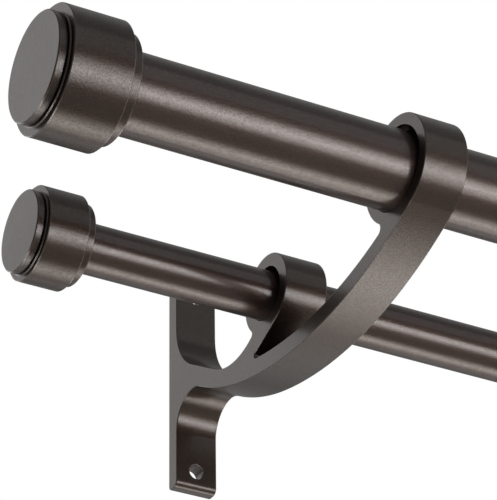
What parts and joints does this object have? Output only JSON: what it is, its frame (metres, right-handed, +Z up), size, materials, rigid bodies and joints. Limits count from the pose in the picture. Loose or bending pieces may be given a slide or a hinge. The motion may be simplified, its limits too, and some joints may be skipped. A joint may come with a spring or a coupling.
{
  "type": "double curtain pole",
  "caption": "Wall-mounted double curtain pole: two telescopic round poles, one in front of the other, on bowed one-piece ring brackets, with turned drum end caps.",
  "frame": {"origin": "midway between the two screw holes of the left bracket, on its wall face", "axes": "+X along the poles from the left bracket to the right one, +Y into the wall, +Z up"},
  "size_m": [0.7633, 0.1635, 0.0778],
  "materials": {
    "bracket_paint": "satin dark bronze paint with a fine metallic grain",
    "pole_paint": "satin dark bronze paint with a fine metallic grain",
    "cap_paint": "satin dark bronze paint with a fine metallic grain",
    "plated_steel": "bright zinc plating",
    "screw_steel": "blackened steel",
    "plug_plastic": "moulded black plastic"
  },
  "bodies": {
    "wall_set": {"left_bracket": "bracket_paint", "right_bracket": "bracket_paint", "front_outer_tube": "pole_paint", "front_left_cap": "cap_paint", "front_left_stud": "plated_steel", "front_left_plug": "plug_plastic", "rear_outer_tube": "pole_paint", "rear_left_cap": "cap_paint", "rear_left_stud": "plated_steel", "rear_left_plug": "plug_plastic", "left_front_grub_screw": "screw_steel", "left_rear_grub_screw": "screw_steel", "right_front_grub_screw": "screw_steel", "right_rear_grub_screw": "screw_steel"},
    "front_extension": {"front_inner_tube": "pole_paint", "front_right_cap": "cap_paint", "front_right_stud": "plated_steel", "front_right_plug": "plug_plastic"},
    "rear_extension": {"rear_inner_tube": "pole_paint", "rear_right_cap": "cap_paint", "rear_right_stud": "plated_steel", "rear_right_plug": "plug_plastic"}
  },
  "joints": [
    {"name": "front_draw_out", "type": "slide", "parent": "wall_set", "child": "front_extension", "axis": [1, 0, 0], "range_m": [0, 0.508]},
    {"name": "rear_draw_out", "type": "slide", "parent": "wall_set", "child": "rear_extension", "axis": [1, 0, 0], "range_m": [0, 0.508]}
  ]
}
